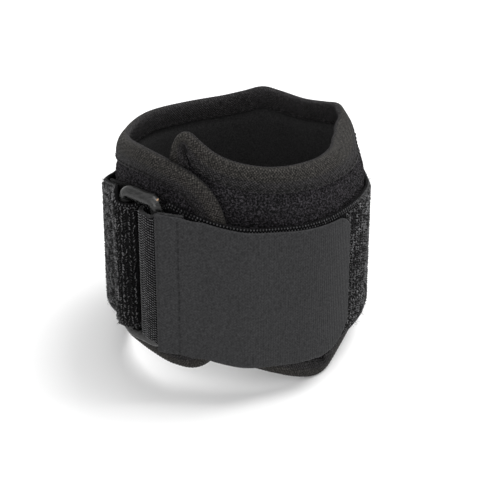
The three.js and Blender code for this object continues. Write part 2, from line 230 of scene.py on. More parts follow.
# Where the strap and the ring lie

halfStrap = band["thickness"] / 2
tapeOutside = cuff["edge"] / 2 + cuff["gap"] + cuff["tapeThickness"]
doubled = band["thickness"] + band["foldGap"]


def strapRadius(angle):
    # the strap's middle lies on the outer layer of the cuff, past the flap on the inner one
    angle = np.asarray(angle, float)
    onInner = tableValue(wallSections, angle, 1)
    onOuter = tableValue(wallSections, angle + 360, 1)
    middle = np.where(angle < 0, onOuter, mix(onOuter, onInner, smoothStep(angle, 0, band["flapStep"])))
    return cuff["armRadius"] * middle + tapeOutside + cuff["gap"] + halfStrap


def planPoint(angle, r):
    turned = np.radians(angle)
    return np.stack([r * np.sin(turned), -r * np.cos(turned)], -1)


barLift = loop["wire"] / 2 + band["foldGap"] + halfStrap
ringRadius = float(strapRadius(loop["angle"])) + barLift
barOffset = math.degrees(loop["spacing"] / 2 / ringRadius)
leftBar, rightBar = loop["angle"] - barOffset, loop["angle"] + barOffset
ringMiddle = planPoint(loop["angle"], ringRadius * math.cos(math.radians(barOffset)))
ringMiddle = np.append(ringMiddle, float(strapMiddle(loop["angle"])) - loop["drop"])
ringBox = np.array(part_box("ring")) / mm
shift = ringBox.mean(0) - ringMiddle  # from these formulas' own place to the frame's
print("cuff lies at", shift)

# Meshes

def addMesh(name, points, faces, uv=None):
    mesh = bpy.data.meshes.new(name)
    mesh.from_pydata(((np.asarray(points) + shift) * mm).tolist(), [], faces)
    if uv is not None:
        layer = mesh.uv_layers.new(name="pattern")
        corner = np.zeros(len(mesh.loops), np.int32)
        mesh.loops.foreach_get("vertex_index", corner)
        layer.data.foreach_set("uv", (np.asarray(uv)[corner] * mm).astype(np.float32).ravel())
    mesh.polygons.foreach_set("use_smooth", [True] * len(mesh.polygons))
    piece = bpy.data.objects.new(name, mesh)
    bpy.context.scene.collection.objects.link(piece)
    return piece


def skinFaces(rings, count, closed):
    # quads between rings of points that follow each other
    faces = []
    runs = rings if closed else rings - 1
    for i in range(runs):
        here, there = i * count, ((i + 1) % rings) * count
        for k in range(count):
            following = (k + 1) % count
            faces.append((here + k, there + k, there + following, here + following))
    if not closed:
        end = (rings - 1) * count
        for k in range(count // 2 - 1):
            mirror = count - 1 - k
            faces.append((k, k + 1, mirror - 1, mirror))
            faces.append((end + k, end + mirror, end + mirror - 1, end + k + 1))
    return faces


def addSkin(name, points, closed, uv=None):
    # a surface over rings of points
    rings, count = points.shape[:2]
    if uv is not None:
        uv = uv.reshape(-1, 2)
    return addMesh(name, points.reshape(-1, 3), skinFaces(rings, count, closed), uv)


def scatter(name, shape, places, axes, scales):
    # one small shape at many places; axes holds three directions for each place
    verts, faces = shape
    turned = np.einsum("nij,nvi->nvj", axes, verts[None] * scales[:, None])
    points = (places[:, None] + turned).reshape(-1, 3)
    base = np.arange(len(places))[:, None, None] * len(verts)
    faces = (base + np.array(faces)[None]).reshape(-1, len(faces[0]))
    return addMesh(name, points, faces.tolist())


def beadShape():
    # a bead of eight faces, two long along its first direction
    verts = np.array([[1, 0, 0], [-1, 0, 0], [0, 1, 0], [0, -1, 0], [0, 0, 1], [0, 0, -1]], float)
    faces = [(0, 2, 4), (2, 1, 4), (1, 3, 4), (3, 0, 4), (2, 0, 5), (1, 2, 5), (3, 1, 5), (0, 3, 5)]
    return verts, faces


def stitchShape():
    # a short thread that dives in at both ends
    half = [(0.3, 1, 0.4), (0.8, 0.75, 0.05), (1, 0.25, -0.9)]
    stations = [(-x, size, lift) for x, size, lift in half[::-1]] + half
    sides = 6
    verts = []
    for x, size, lift in stations:
        for k in range(sides):
            turn = 2 * math.pi * k / sides
            verts.append((x, size * math.cos(turn), lift + size * math.sin(turn)))
    faces = []
    for i in range(len(stations) - 1):
        for k in range(sides):
            a, b = i * sides + k, i * sides + (k + 1) % sides
            faces.append((a, b, b + sides, a + sides))
    first, last = list(range(sides)), list(range(len(verts) - sides, len(verts)))
    for end in (last, first[::-1]):
        faces += [(end[0], end[1], end[2], end[3]), (end[0], end[3], end[4], end[5])]
    return np.array(verts, float), faces


def squareTo(run, out):
    # the part of a direction that is square to another
    return unit(out - run * (out @ run))


# Materials

def newMaterial(name, surface):
    # a material whose shader has these values
    material = bpy.data.materials.new(name)
    material.use_nodes = True
    nodes, links = material.node_tree.nodes, material.node_tree.links
    shader = nodes["Principled BSDF"]
    for socket, value in surface.items():
        shader.inputs[socket].default_value = value
    return material, nodes, links, shader


def addNode(nodes, kind, values):
    node = nodes.new("ShaderNode" + kind)
    for socket, value in values.items():
        node.inputs[socket].default_value = value
    return node


def addRamp(nodes, low, high):
    # colour ramp between two ends, each a position and a colour
    ramp = nodes.new("ShaderNodeValToRGB")
    for element, (position, colour) in zip(ramp.color_ramp.elements, (low, high)):
        element.position = position
        element.color = (*colour, 1)
    return ramp


def addTint(nodes):
    # one colour multiplied by another
    tint = nodes.new("ShaderNodeMix")
    tint.data_type = "RGBA"
    tint.blend_type = "MULTIPLY"
    tint.inputs["Factor"].default_value = 1
    return tint


def addMath(nodes, operation, second):
    node = nodes.new("ShaderNodeMath")
    node.operation = operation
    node.inputs[1].default_value = second
    return node


def addPattern(nodes):
    # the flat pattern's own coordinates, in metres
    flat = nodes.new("ShaderNodeUVMap")
    flat.uv_map = "pattern"
    return flat


def joinNodes(links, rows):
    for source, output, target, socket in rows:
        links.new(source.outputs[output], target.inputs[socket])


def clothMaterial(name, look):
    # speckled fabric: dark ground, lighter fibre ends, fine bump
    material, nodes, links, shader = newMaterial(name, {
        "Roughness": look["rough"], "Sheen Weight": look["sheen"], "Sheen Roughness": 0.5,
        "Specular IOR Level": look["gloss"],
    })
    place = nodes.new("ShaderNodeTexCoord")
    stretch = addNode(nodes, "Mapping", {"Scale": (1, look["stretch"], 1)})
    fine = addNode(nodes, "TexNoise", {"Scale": look["grain"], "Detail": 3})
    broad = addNode(nodes, "TexNoise", {"Scale": look["patches"], "Detail": 4})
    tone = {"From Min": 0.3, "From Max": 0.7, "To Min": look["uneven"], "To Max": 1.2}
    tone = addNode(nodes, "MapRange", tone)
    ramp = addRamp(nodes, (look["from"], look["dark"]), (look["to"], look["light"]))
    tint = addTint(nodes)
    bump = addNode(nodes, "Bump", {"Strength": look["bump"], "Distance": 0.0004})
    joinNodes(links, [
        (place, "Object", stretch, "Vector"), (stretch, "Vector", fine, "Vector"),
        (place, "Object", broad, "Vector"), (broad, "Fac", tone, "Value"), (fine, "Fac", ramp, "Fac"),
        (ramp, "Color", tint, "A"), (tone, "Result", tint, "B"), (tint, "Result", shader, "Base Color"),
        (fine, "Fac", bump, "Height"), (bump, "Normal", shader, "Normal"),
    ])
    return material


# What most fabrics share, and what each has of its own
clothBase = {
    "stretch": 1, "patches": 50, "uneven": 0.8, "bump": 0.3, "rough": 0.6, "sheen": 0.01, "gloss": 0.1,
}
clothLooks = {
    "cuff pile": {
        "dark": (0.003, 0.003, 0.0034), "light": (0.06, 0.055, 0.062), "from": 0.45, "to": 0.72,
        "grain": 1700, "patches": 45, "uneven": 0.7, "bump": 0.8, "rough": 0.85, "sheen": 0.02,
    },
    "cuff lining": {
        "dark": (0.01, 0.01, 0.0103), "light": (0.032, 0.0315, 0.032), "from": 0.3, "to": 0.75,
        "grain": 2200, "patches": 25, "uneven": 0.7, "rough": 0.8, "gloss": 0.06,
    },
    "strap ground": {
        "dark": (0.001, 0.001, 0.0012), "light": (0.009, 0.009, 0.0095), "from": 0.42, "to": 0.78,
        "grain": 1500, "patches": 60, "uneven": 0.65, "bump": 0.6, "rough": 0.8, "gloss": 0.06,
    },
    "strap pile": {
        "dark": (0.006, 0.006, 0.0063), "light": (0.17, 0.17, 0.174), "from": 0.43, "to": 0.66,
        "grain": 700, "stretch": 0.35, "patches": 60, "uneven": 0.65, "gloss": 0.2,
    },
    "strap selvage": {
        "dark": (0.012, 0.012, 0.0125), "light": (0.085, 0.085, 0.088), "from": 0.35, "to": 0.68,
        "grain": 900, "patches": 80, "uneven": 0.7, "rough": 0.55, "gloss": 0.25,
    },
    "strap rim": {
        "dark": (0.003, 0.003, 0.0031), "light": (0.022, 0.022, 0.0228), "from": 0.4, "to": 0.7,
        "grain": 1000, "patches": 80, "uneven": 0.7, "bump": 0.5, "gloss": 0.2,
    },
    "fold weave": {
        "dark": (0.025, 0.025, 0.026), "light": (0.11, 0.11, 0.113), "from": 0.3, "to": 0.65,
        "grain": 900, "patches": 80, "uneven": 0.75, "rough": 0.5, "gloss": 0.3,
    },
    "black thread": {
        "dark": (0.002, 0.002, 0.002), "light": (0.01, 0.01, 0.01), "from": 0.3, "to": 0.7,
        "grain": 3000,
    },
    "tab thread": {
        "dark": (0.008, 0.008, 0.0085), "light": (0.02, 0.02, 0.021), "from": 0.3, "to": 0.7,
        "grain": 3000, "gloss": 0.15,
    },
    "flash": {
        "dark": (0.3, 0.18, 0.1), "light": (0.6, 0.42, 0.28), "from": 0.35, "to": 0.65,
        "grain": 1500, "patches": 400, "bump": 0.2, "rough": 0.4, "gloss": 0.4,
    },
    "pale fibre": {
        "dark": (0.03, 0.03, 0.03), "light": (0.25, 0.25, 0.25), "from": 0.4, "to": 0.75,
        "grain": 500, "bump": 0.1, "rough": 0.5, "sheen": 0.02, "gloss": 0.3,
    },
}


def clothOf(name):
    return bpy.data.materials.get(name) or clothMaterial(name, {**clothBase, **clothLooks[name]})


def finishPiece(piece, slot, *materials):
    for material in materials:
        piece.data.materials.append(material)
    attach(piece, "root")
    return piece


# Binding: knit tape folded over the cut edge

tapeLook = {
    "ringStep": 0.3, "ribPitch": 1.15, "ribHeight": 0.09, "ribSlant": 0.35, "puff": 0.35,
    "aim": 1.2, "bendSpan": 3.4, "tightest": 0.8, "sidesApart": 20, "sewnFrom": 2.4, "sewnTo": 3.6,
    "mesh": 1450,
}


def bindingEdge():
    # points of the cut edge, directions, and how far in the tape reaches there
    edge, at = evenly(flatOutline, tapeLook["ringStep"], True)
    aim = int(tapeLook["aim"] / tapeLook["ringStep"])
    direction = unit(np.roll(edge, -aim, 0) - np.roll(edge, aim, 0))
    wide = int(tapeLook["bendSpan"] / tapeLook["ringStep"])
    before, after = np.roll(direction, wide // 2, 0), np.roll(direction, -wide // 2, 0)
    bend = -(before[:, 0] * after[:, 1] - before[:, 1] * after[:, 0]) / tapeLook["bendSpan"]
    tight = np.max([np.roll(bend, k, 0) for k in range(-wide, wide + 1, 2)], axis=0)
    room = np.where(tight > 0, tapeLook["tightest"] / np.maximum(tight, 1e-6), cuff["tapeWidth"])
    width = np.minimum(cuff["tapeWidth"], room)
    soft = np.mean([np.roll(width, k, 0) for k in range(-wide, wide + 1)], axis=0)
    return edge, at, direction, soft / cuff["tapeWidth"]


def bindingSection():
    # depth from the edge, offset from the wall's middle, and how much of the ribs shows
    inner = cuff["edge"] / 2 + cuff["gap"]
    outer = tapeOutside
    nose = cuff["gap"] + cuff["tapeThickness"]
    width, puff = cuff["tapeWidth"], tapeLook["puff"]
    side = [
        (width, outer - 0.35, 0), (width - 0.15, outer - 0.02, 0.4), (width - 0.6, outer, 0.8),
        (width - 1.2, outer - 0.12, 0.6), (width - 2, outer + 0.3 * puff, 1),
        (width - 3.2, outer + 0.8 * puff, 1), (width - 4.6, outer + puff, 1),
        (width - 5.8, outer + 0.6 * puff, 1), (0.4, outer, 1), (-0.25, outer * 0.85, 1),
        (-0.65, outer * 0.55, 1), (-nose, outer * 0.2, 1),
    ]
    across = [(depth, -offset, rib) for depth, offset, rib in side[::-1]]
    inside = [(width, -inner, 0), (0.7, -inner, 0), (-0.2, -inner * 0.6, 0)]
    inside += [(depth, -offset, rib) for depth, offset, rib in inside[::-1]]
    return np.array(side + across + inside)


def makeBinding():
    edge, at, direction, reach = bindingEdge()
    section = bindingSection()
    inward = np.stack([direction[:, 1], -direction[:, 0]], -1)
    depth, offset, rib = section[:, 0], section[:, 1], section[:, 2]
    d = np.where(depth > 1, depth[None] * reach[:, None], depth[None])
    wave = np.cos(2 * np.pi * (at[:, None] + tapeLook["ribSlant"] * depth[None]) / tapeLook["ribPitch"])
    lift = tapeLook["ribHeight"] * rib[None] * wave
    o = offset[None] + np.sign(offset)[None] * lift
    s = edge[:, 0, None] + inward[:, 0, None] * d
    z = edge[:, 1, None] + inward[:, 1, None] * d
    apart = tapeLook["sidesApart"] * (offset < 0)
    uv = np.stack([at[:, None] + 0 * d, depth[None] + 0 * d + apart], -1)
    return addSkin("binding_tape", wallPoint(s, z, o), True, uv), (edge, at, inward, reach)


def tapeMaterial():
    # knit tape: a fine mesh of dots, the crest painted paler as a highlight and the sewn half darker
    surface = {"Roughness": 0.65, "Sheen Weight": 0.01, "Specular IOR Level": 0.1}
    material, nodes, links, shader = newMaterial("binding knit", surface)
    place, flat = nodes.new("ShaderNodeTexCoord"), addPattern(nodes)
    noise = addNode(nodes, "TexNoise", {"Scale": 1900, "Detail": 3})
    turned = addNode(nodes, "Mapping", {"Rotation": (0, 0, math.pi / 4)})
    knit = addNode(nodes, "TexVoronoi", {"Scale": tapeLook["mesh"], "Randomness": 0.2})
    dots = {"From Min": 0.2, "From Max": 0.6, "To Min": 1.7, "To Max": 0.4}
    dots = addNode(nodes, "MapRange", dots)
    split = nodes.new("ShaderNodeSeparateXYZ")
    fold = addMath(nodes, "PINGPONG", tapeLook["sidesApart"] * mm)
    sewn = {"From Min": tapeLook["sewnFrom"] * mm, "From Max": tapeLook["sewnTo"] * mm}
    sewn = addNode(nodes, "MapRange", sewn)
    # painted highlight: by depth from the edge, the crest gets a paler colour than the sewn half
    ground = nodes.new("ShaderNodeMix")
    ground.data_type = "RGBA"
    ground.inputs["A"].default_value = (0.022, 0.0205, 0.0188, 1)
    ground.inputs["B"].default_value = (0.017, 0.016, 0.0166, 1)
    ramp = addRamp(nodes, (0.36, [0.25] * 3), (0.68, [1.9] * 3))
    speckle, meshed = addTint(nodes), addTint(nodes)
    bump = addNode(nodes, "Bump", {"Strength": 0.6, "Distance": 0.0003})
    joinNodes(links, [
        (place, "Object", noise, "Vector"), (flat, "UV", turned, "Vector"),
        (turned, "Vector", knit, "Vector"), (knit, "Distance", dots, "Value"),
        (flat, "UV", split, "Vector"), (split, "Y", fold, 0), (fold, "Value", sewn, "Value"),
        (sewn, "Result", ground, "Factor"), (noise, "Fac", ramp, "Fac"),
        (ground, "Result", speckle, "A"), (ramp, "Color", speckle, "B"),
        (speckle, "Result", meshed, "A"), (dots, "Result", meshed, "B"),
        (meshed, "Result", shader, "Base Color"), (dots, "Result", bump, "Height"),
        (bump, "Normal", shader, "Normal"),
    ])
    return material


binding, bindingRun = makeBinding()
finishPiece(binding, "binding_knit", tapeMaterial())
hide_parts("cuff_binding")
print("binding done")

# Stitches along the binding's sewn edge, outside and inside

stitches = {"pitch": 2.9, "length": 1.9, "thread": 0.26, "depth": 6.1}


def makeTapeStitches():
    edge, at, inward, reach = bindingRun
    line = edge + inward * (stitches["depth"] * reach)[:, None]
    ahead = np.roll(line, -3, 0)
    places, axes = [], []
    every = int(round(stitches["pitch"] / tapeLook["ringStep"]))
    for side in (1, -1):
        for i in range(0, len(at), every):
            start = wallPoint(*line[i], side * tapeOutside)
            run = unit(wallPoint(*ahead[i], side * tapeOutside) - start)
            out = squareTo(run, wallFrame(*line[i], 0)[3] * side)
            places.append(start)
            axes.append([run, np.cross(out, run), out])
    size = [stitches["length"] / 2, stitches["thread"], stitches["thread"]]
    size = np.tile(size, (len(places), 1))
    return scatter("binding_stitches", stitchShape(), np.array(places), np.array(axes), size)


finishPiece(makeTapeStitches(), "binding_knit", clothOf("black thread"))

# Cuff: foam wall, pile outside and smooth inside

cuffLook = {
    "stations": 300, "rows": 60, "endCrowd": 0.6, "edgeCrowd": 0.5, "inset": 0.05,
    "pinch": 0.36, "pinchDepth": 1.5, "tuftPitch": 0.95, "tuft": (0.62, 0.34, 0.34), "jitter": 0.3,
    "underStrap": 1.5, "offTape": 0.5,
}
boundWidth = cuff["tapeWidth"] + 4 * cuff["gap"]  # how far from its edge the foam is thinned


def crowded(count, crowd):
    # steps from 0 to 1 that stand closer at both ends
    x = np.linspace(0, 1, count)
    return x - crowd * np.sin(2 * np.pi * x) / (2 * np.pi)


def makeCuff():
    inset = cuffLook["inset"]
    first, last = flatOutline[:, 0].min() + inset, flatOutline[:, 0].max() - inset
    s = mix(first, last, crowded(cuffLook["stations"], cuffLook["endCrowd"]))
    v = crowded(cuffLook["rows"], cuffLook["edgeCrowd"])
    ends = columnEnds(s)
    z = mix(ends[:, :1], ends[:, 1:], v[None])
    s = s[:, None] + 0 * z
    depth = edgeDistance(s, z)
    pinched = np.minimum(depth / cuffLook["pinchDepth"], 1)
    pinched = mix(cuff["edge"] * cuffLook["pinch"], cuff["edge"] / 2, pinched)
    half = mix(pinched, cuff["pad"] / 2, smoothStep(depth, boundWidth, boundWidth + cuff["pad"]))
    outside, inside = wallPoint(s, z, half), wallPoint(s, z, -half)
    points = np.concatenate([outside, inside[:, ::-1]], 1)
    rings, sides = points.shape[:2]
    piece = addSkin("cuff_pad", points, False)
    which = [0 if k < sides // 2 else 1 for _ in range(rings - 1) for k in range(sides)]
    which += [0] * (len(piece.data.polygons) - len(which))
    piece.data.polygons.foreach_set("material_index", which)
    return piece


cuffPad = finishPiece(makeCuff(), "cuff_pile", clothOf("cuff pile"), clothOf("cuff lining"))
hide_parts("cuff")
print("cuff done")


def makeCuffPile():
    # short loops on the cuff where the strap leaves it bare
    pitch = cuffLook["tuftPitch"]
    low, high = flatOutline.min(0), flatOutline.max(0)
    s, z = np.meshgrid(np.arange(low[0], high[0], pitch), np.arange(low[1], high[1], pitch))
    s = (s + (np.arange(len(s))[:, None] % 2) * pitch / 2).ravel()
    z = z.ravel()
    jitter = cuffLook["jitter"]
    s = s + dice.uniform(-jitter, jitter, len(s)) * pitch
    z = z + dice.uniform(-jitter, jitter, len(z)) * pitch
    inside = np.zeros(len(s), bool)
    for p, q in zip(coarseOutline, np.roll(coarseOutline, -1, 0)):
        if p[1] != q[1]:
            crossing = p[0] + (z - p[1]) * (q[0] - p[0]) / (q[1] - p[1])
            inside ^= ((p[1] <= z) != (q[1] <= z)) & (s < crossing)
    fromStrap = np.abs(z - strapMiddle(s / lengthPerDegree)) - band["width"] / 2
    keep = inside & (fromStrap > -cuffLook["underStrap"])
    s, z = s[keep], z[keep]
    deep = edgeDistance(s, z)
    keep = deep > cuff["tapeWidth"] + cuffLook["offTape"]
    s, z, deep = s[keep], z[keep], deep[keep]
    thick = smoothStep(deep, boundWidth, boundWidth + cuff["pad"])
    half = mix(cuff["edge"] / 2, cuff["pad"] / 2, thick)
    place, along, up, out = wallFrame(s, z, half)
    turn = dice.uniform(0, np.pi, len(s))[:, None]
    run = along * np.cos(turn) + up * np.sin(turn)
    axes = np.stack([run, np.cross(out, run), out], 1)
    size = np.array(cuffLook["tuft"])[None] * dice.uniform(0.7, 1.2, (len(s), 1))
    return scatter("cuff_pile", beadShape(), place, axes, size)


finishPiece(makeCuffPile(), "cuff_pile", clothOf("cuff pile"))
print("cuff pile done")

# Strap: one strip from its sewn end round the ring's left bar, round the arm and back

def barTurn(angle, side):
    # half turn round an upright bar, from its inner side to its outer side
    sweep = np.linspace(0, np.pi, 9)
    out = planPoint(angle, 1.0)
    along = np.array([-out[1], out[0]]) * side
    radial = -np.cos(sweep) * barLift
    sideways = np.sin(sweep) * (barLift + band["loopSlack"])
    return planPoint(angle, ringRadius) + radial[:, None] * out + sideways[:, None] * along


def strapPath():
    def layer(start, end, step, lift):
        count = max(1, round(abs(end - start) / step))
        angle = mix(start, end, np.arange(count) / count)
        return planPoint(angle, strapRadius(np.where(angle > 180, angle - 360, angle)) + lift(angle))

    def foldLift(angle):
        return mix(2 * barLift, doubled, smoothStep(angle, rightBar, rightBar + band["settle"]))

    def outerLift(angle):
        overBar = mix(doubled, 2 * barLift, smoothStep(angle, leftBar - band["settle"], leftBar))
        return overBar * smoothStep(angle, band["sewnEnd"] - 2.2 * band["settle"], band["sewnEnd"] - 2)

    def noLift(angle):
        return 0 * angle

    runs = [
        layer(band["sewnEnd"], leftBar, 3, noLift), barTurn(leftBar, 1),
        layer(leftBar, -180, 4, outerLift)[1:], layer(180, rightBar, 4, noLift),
        barTurn(rightBar, -1), layer(rightBar, band["foldEnd"] + 0.01, 3, foldLift)[1:],
        planPoint(np.array([band["foldEnd"]]), strapRadius(band["foldEnd"]) + doubled),
    ]
    return np.vstack(runs)


pathLine, pathAt = evenly(smoothCurve(strapPath(), 12, False), 0.25, False)
pathEnd = pathAt[-1]
pathAngle = np.degrees(np.arctan2(pathLine[:, 0], -pathLine[:, 1]))
pathWay = unit(np.gradient(pathLine, axis=0))
pathMiddle = strapMiddle(pathAngle)
nearEnd = 45  # both turns round the ring lie within this length of the strap's ends
outTurn = np.argmax(np.where(pathAt < nearEnd, pathAngle, -180))
foldTurn = np.argmin(np.where(pathAt > pathEnd - nearEnd, pathAngle, 180))


def gatherAt(angle):
    # share of its width that the strap keeps, drawn in to pass the ring
    away = np.abs(angle - loop["angle"]) - barOffset
    drawnIn = (loop["height"] - 2 * loop["play"]) / band["width"]
    return mix(drawnIn, 1, smoothStep(away, 0, loop["gatherSpan"]))


def strapPoint(at, z, offset):
    # point, along, up and pile-side directions on the strap
    x, y, wx, wy, middle = (np.interp(at, pathAt, c) for c in (*pathLine.T, *pathWay.T, pathMiddle))
    z = z * gatherAt(np.degrees(np.arctan2(x, -y)))
    size = np.hypot(wx, wy)
    wx, wy = wx / size, wy / size
    flare = flareAt(z) / np.hypot(x, y)
    point = [x - wy * offset + x * flare, y + wx * offset + y * flare, middle + z]
    point = np.stack(point, -1)
    along = np.stack([wx, wy, 0 * wx], -1)
    normal = np.stack([-wy, wx, 0 * wx], -1)
    up = np.zeros_like(along)
    up[..., 2] = 1
    return point, along, up, normal


strapLook = {
    "step": 0.28, "selvage": 2.2, "baseTop": 0.55, "ribPitch": 1.15, "ribHeight": 0.16,
    "rowPitch": 1.15, "loopPitch": 0.95, "loopSize": (0.58, 0.18, 0.5), "loopTilt": 36, "pressed": 1.5,
    "edgePitch": 1.05, "bareRim": 0.9, "foldLength": 24,
}


def strapSection():
    # height and offset once round, the pile standing proud between two thinner edges
    half, back, pile, edge = band["width"] / 2, -halfStrap, strapLook["baseTop"], 0.2
    z = np.linspace(-half + strapLook["selvage"], half - strapLook["selvage"], 12)
    front = [(-half, 0.5 * (back + edge)), (-half + 0.15, edge - 0.15)]
    front += [(-half + 0.6, edge), (-half + 1.7, edge)]
    top = [(-height, offset) for height, offset in front[::-1]]
    upper = front + [(height, pile) for height in z] + top
    inner = np.linspace(-half + 0.8, half - 0.8, len(upper) - 2)
    lower = [(height, back) for height in inner]
    lower = [(-half + 0.25, back + 0.12), *lower, (half - 0.25, back + 0.12)]
    return np.array(upper + lower[::-1]) * (-1, 1)


def makeStrap():
    count = int(pathEnd / strapLook["step"])
    at = np.linspace(0, pathEnd, count)
    section = strapSection()
    at, z = np.meshgrid(at, section[:, 0], indexing="ij")
    piled = section[:, 1] > 0.5 * strapLook["baseTop"]
    rib = strapLook["ribHeight"] * np.cos(2 * np.pi * at / strapLook["ribPitch"]) * piled
    points = strapPoint(at, z, section[:, 1] + rib)[0]
    piece = addSkin("strap_band", points, False)
    rim = np.abs(section[:, 0]) > band["width"] / 2 - strapLook["bareRim"]
    folded = at[:-1, :1] > pathEnd - strapLook["foldLength"]
    which = (folded & rim & np.roll(rim, -1)).astype(int).ravel()
    which = np.append(which, np.zeros(len(piece.data.polygons) - len(which), int))
    piece.data.polygons.foreach_set("material_index", which)
    return piece


strapBand = finishPiece(makeStrap(), "strap_pile", clothOf("strap ground"), clothOf("strap rim"))
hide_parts("strap")
print("strap done, length", round(pathEnd))


def makeStrapPile():
    # loops in leaning rows wherever the pile shows
    fromTab = np.abs(pathAngle - (tab["end"] - 1))
    stop = pathAt[np.argmin(np.where(pathAt < pathEnd * 0.4, 360, fromTab))]
    rows = np.arange(pathAt[outTurn] + strapLook["pressed"], stop, strapLook["rowPitch"])
    reach = band["width"] / 2 - strapLook["selvage"]
    at, z = np.meshgrid(rows, np.arange(-reach, reach, strapLook["loopPitch"]), indexing="ij")
    lean = np.where(np.arange(len(at)) % 2, 1, -1)[:, None] + 0 * at
    z = z + (np.arange(len(at)) % 2)[:, None] * strapLook["loopPitch"] / 2
    at, z, lean = at.ravel(), z.ravel(), lean.ravel()
    at = at + dice.normal(0, 0.16, len(at))
    z = z + dice.normal(0, 0.14, len(z))
    place, along, up, normal = strapPoint(at, z, strapLook["baseTop"] + 0.1)
    turn = np.radians(strapLook["loopTilt"] * lean + dice.normal(0, 14, len(at)))[:, None]
    run = up * np.cos(turn) + along * np.sin(turn)
    axes = np.stack([run, np.cross(normal, run), normal], 1)
    size = np.array(strapLook["loopSize"])[None] * dice.uniform(0.75, 1.2, (len(at), 3))
    return scatter("strap_pile", beadShape(), place, axes, size)


finishPiece(makeStrapPile(), "strap_pile", clothOf("strap pile"))


def makeSelvage():
    # ribbed woven edges of the strap
    at = np.arange(0.6, pathEnd - 0.4, strapLook["edgePitch"])
    parts = []
    for side in (1, -1):
        for rowAt, size in ((0.55, (0.3, 0.5, 0.4)), (1.5, (0.3, 0.5, 0.34))):
            z = side * (band["width"] / 2 - rowAt) + 0 * at
            place, along, up, normal = strapPoint(at + 0.5 * (rowAt > 1), z, 0.15)
            parts.append((place, np.stack([-along, up, normal], 1), np.tile(size, (len(at), 1))))
    parts = [np.concatenate(column) for column in zip(*parts)]
    return scatter("strap_selvage", beadShape(), *parts)


finishPiece(makeSelvage(), "strap_pile", clothOf("strap selvage"))

weaveLook = {
    "column": 4.2, "step": 0.7, "rib": 0.95, "slant": 24, "size": (0.5, 0.21, 0.32), "stopShort": 7,
}


def makeWeave():
    # herringbone back of the strap where it is folded out at the right bar
    start = pathAt[foldTurn] - weaveLook["column"]
    half = band["width"] / 2 - 0.6
    rib = np.arange(-half, half, weaveLook["rib"])
    rows = np.arange(start, pathEnd - weaveLook["stopShort"], weaveLook["step"])
    at, z = np.meshgrid(rows, rib, indexing="ij")
    at, z = at.ravel(), z.ravel()
    column, into = np.divmod(at - start, weaveLook["column"])
    lean = np.where(column % 2, 1, -1)
    slope = math.tan(math.radians(weaveLook["slant"]))
    z = z + slope * lean * (into - weaveLook["column"] / 2)
    keep = np.abs(z) < half
    place, along, up, normal = strapPoint(at[keep], z[keep], -halfStrap)
    run = unit(along + slope * lean[keep][:, None] * up)
    axes = np.stack([run, np.cross(-normal, run), -normal], 1)
    size = np.array(weaveLook["size"])[None] * dice.uniform(0.85, 1.15, (len(place), 3))
    return scatter("strap_weave", beadShape(), place, axes, size)


finishPiece(makeWeave(), "strap_pile", clothOf("fold weave"))
print("strap pile and weave done")

# Hook tab

tabLook = {
    "radius": 47.5, "ribPitch": 0.85, "ribHeight": 0.055, "step": 0.17, "seams": (-26.7, -20.8),
    "seamWidth": 0.45, "seamDepth": 0.16, "stitch": 3.1, "thread": (1.1, 0.15, 0.16),
    "threadSink": 0.12,
}
onFold = halfStrap + doubled + cuff["gap"] + tab["thickness"] / 2
onStrap = halfStrap + cuff["gap"] + tab["thickness"] / 2


def tabRadius(angle):
    # over the strap's folded end, then down a step onto the strap
    rise = mix(2 * barLift - doubled, 0, smoothStep(angle, rightBar, rightBar + band["settle"]))
    step = smoothStep(angle, band["foldEnd"] + 0.8, band["foldEnd"] + 9)
    return strapRadius(angle) + mix(onFold + rise, onStrap, step)


def tabPoint(angle, z, offset):
    drop = tab["drop"] * (angle - tab["start"]) / (tab["end"] - tab["start"])
    p = planPoint(angle, tabRadius(angle) + offset + flareAt(z))
    return np.concatenate([p, (strapMiddle(angle) - drop + z)[..., None]], -1)


def makeTab():
    around = math.radians(tab["end"] - tab["start"]) * tabLook["radius"]
    angle = mix(tab["start"], tab["end"], np.linspace(0, 1, int(around / tabLook["step"])))
    toEnd = np.radians(tab["end"] - angle) * tabRadius(angle)
    fromStart = np.radians(angle - tab["start"]) * tabLook["radius"]

    def reachAt(corner):
        bite = np.maximum(corner - toEnd, 0)
        return band["width"] / 2 - corner + np.sqrt(np.maximum(corner ** 2 - bite ** 2, 0))

    upper, lower = reachAt(tab["upperCorner"]), reachAt(tab["lowerCorner"])
    v = np.concatenate([[0, 0.004, 0.012], np.linspace(0.04, 0.96, 22), [0.988, 0.996, 1]])
    fullRows = np.clip(np.minimum(v, 1 - v) / 0.012, 0, 1)
    fullColumns = np.clip(np.minimum(toEnd, fromStart) / 0.5, 0, 1)
    full = fullRows[None] * fullColumns[:, None]
    z = mix(-lower[:, None], upper[:, None], v[None])
    half = tab["thickness"] / 2 * (0.35 + 0.65 * np.sqrt(full))
    run = np.radians(angle)[:, None] * tabLook["radius"]
    rib = tabLook["ribHeight"] * np.cos(2 * np.pi * run / tabLook["ribPitch"]) * full
    seams = [math.radians(seam) * tabLook["radius"] for seam in tabLook["seams"]]
    sunk = sum(np.exp(-((run - seam) / tabLook["seamWidth"]) ** 2) for seam in seams)
    sunk = tabLook["seamDepth"] * sunk
    a = angle[:, None] + 0 * z
    outside, inside = tabPoint(a, z, half + rib - sunk), tabPoint(a, z, -half)
    points = np.concatenate([outside, inside[:, ::-1]], 1)
    uv = np.stack([run + 0 * z, z], -1)
    return addSkin("tab_panel", points, False, np.concatenate([uv, uv[:, ::-1]], 1))


